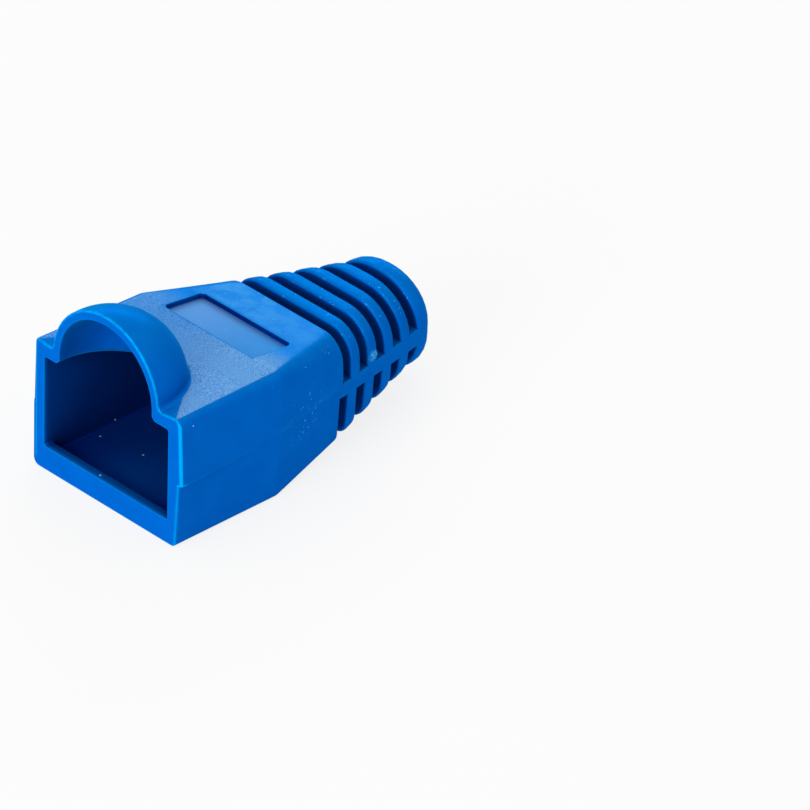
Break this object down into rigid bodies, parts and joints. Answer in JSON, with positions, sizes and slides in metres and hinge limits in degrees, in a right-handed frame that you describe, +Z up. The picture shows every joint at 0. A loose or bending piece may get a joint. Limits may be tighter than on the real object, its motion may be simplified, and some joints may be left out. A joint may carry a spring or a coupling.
{
  "type": "modular plug strain relief boot",
  "caption": "Moulded strain relief boot for a modular network plug: open box front, domed latch hood, slotted flexible tail and round cable hole.",
  "frame": {"origin": "underside of the box body, in the middle of the overall length and width", "axes": "+X from the open mouth to the cable end, +Y across the boot, +Z up from the underside to the hood"},
  "size_m": [0.026, 0.0146, 0.0144],
  "materials": {
    "boot": "satin, finely textured top"
  },
  "bodies": {
    "root": {"boot": "boot"}
  },
  "joints": []
}
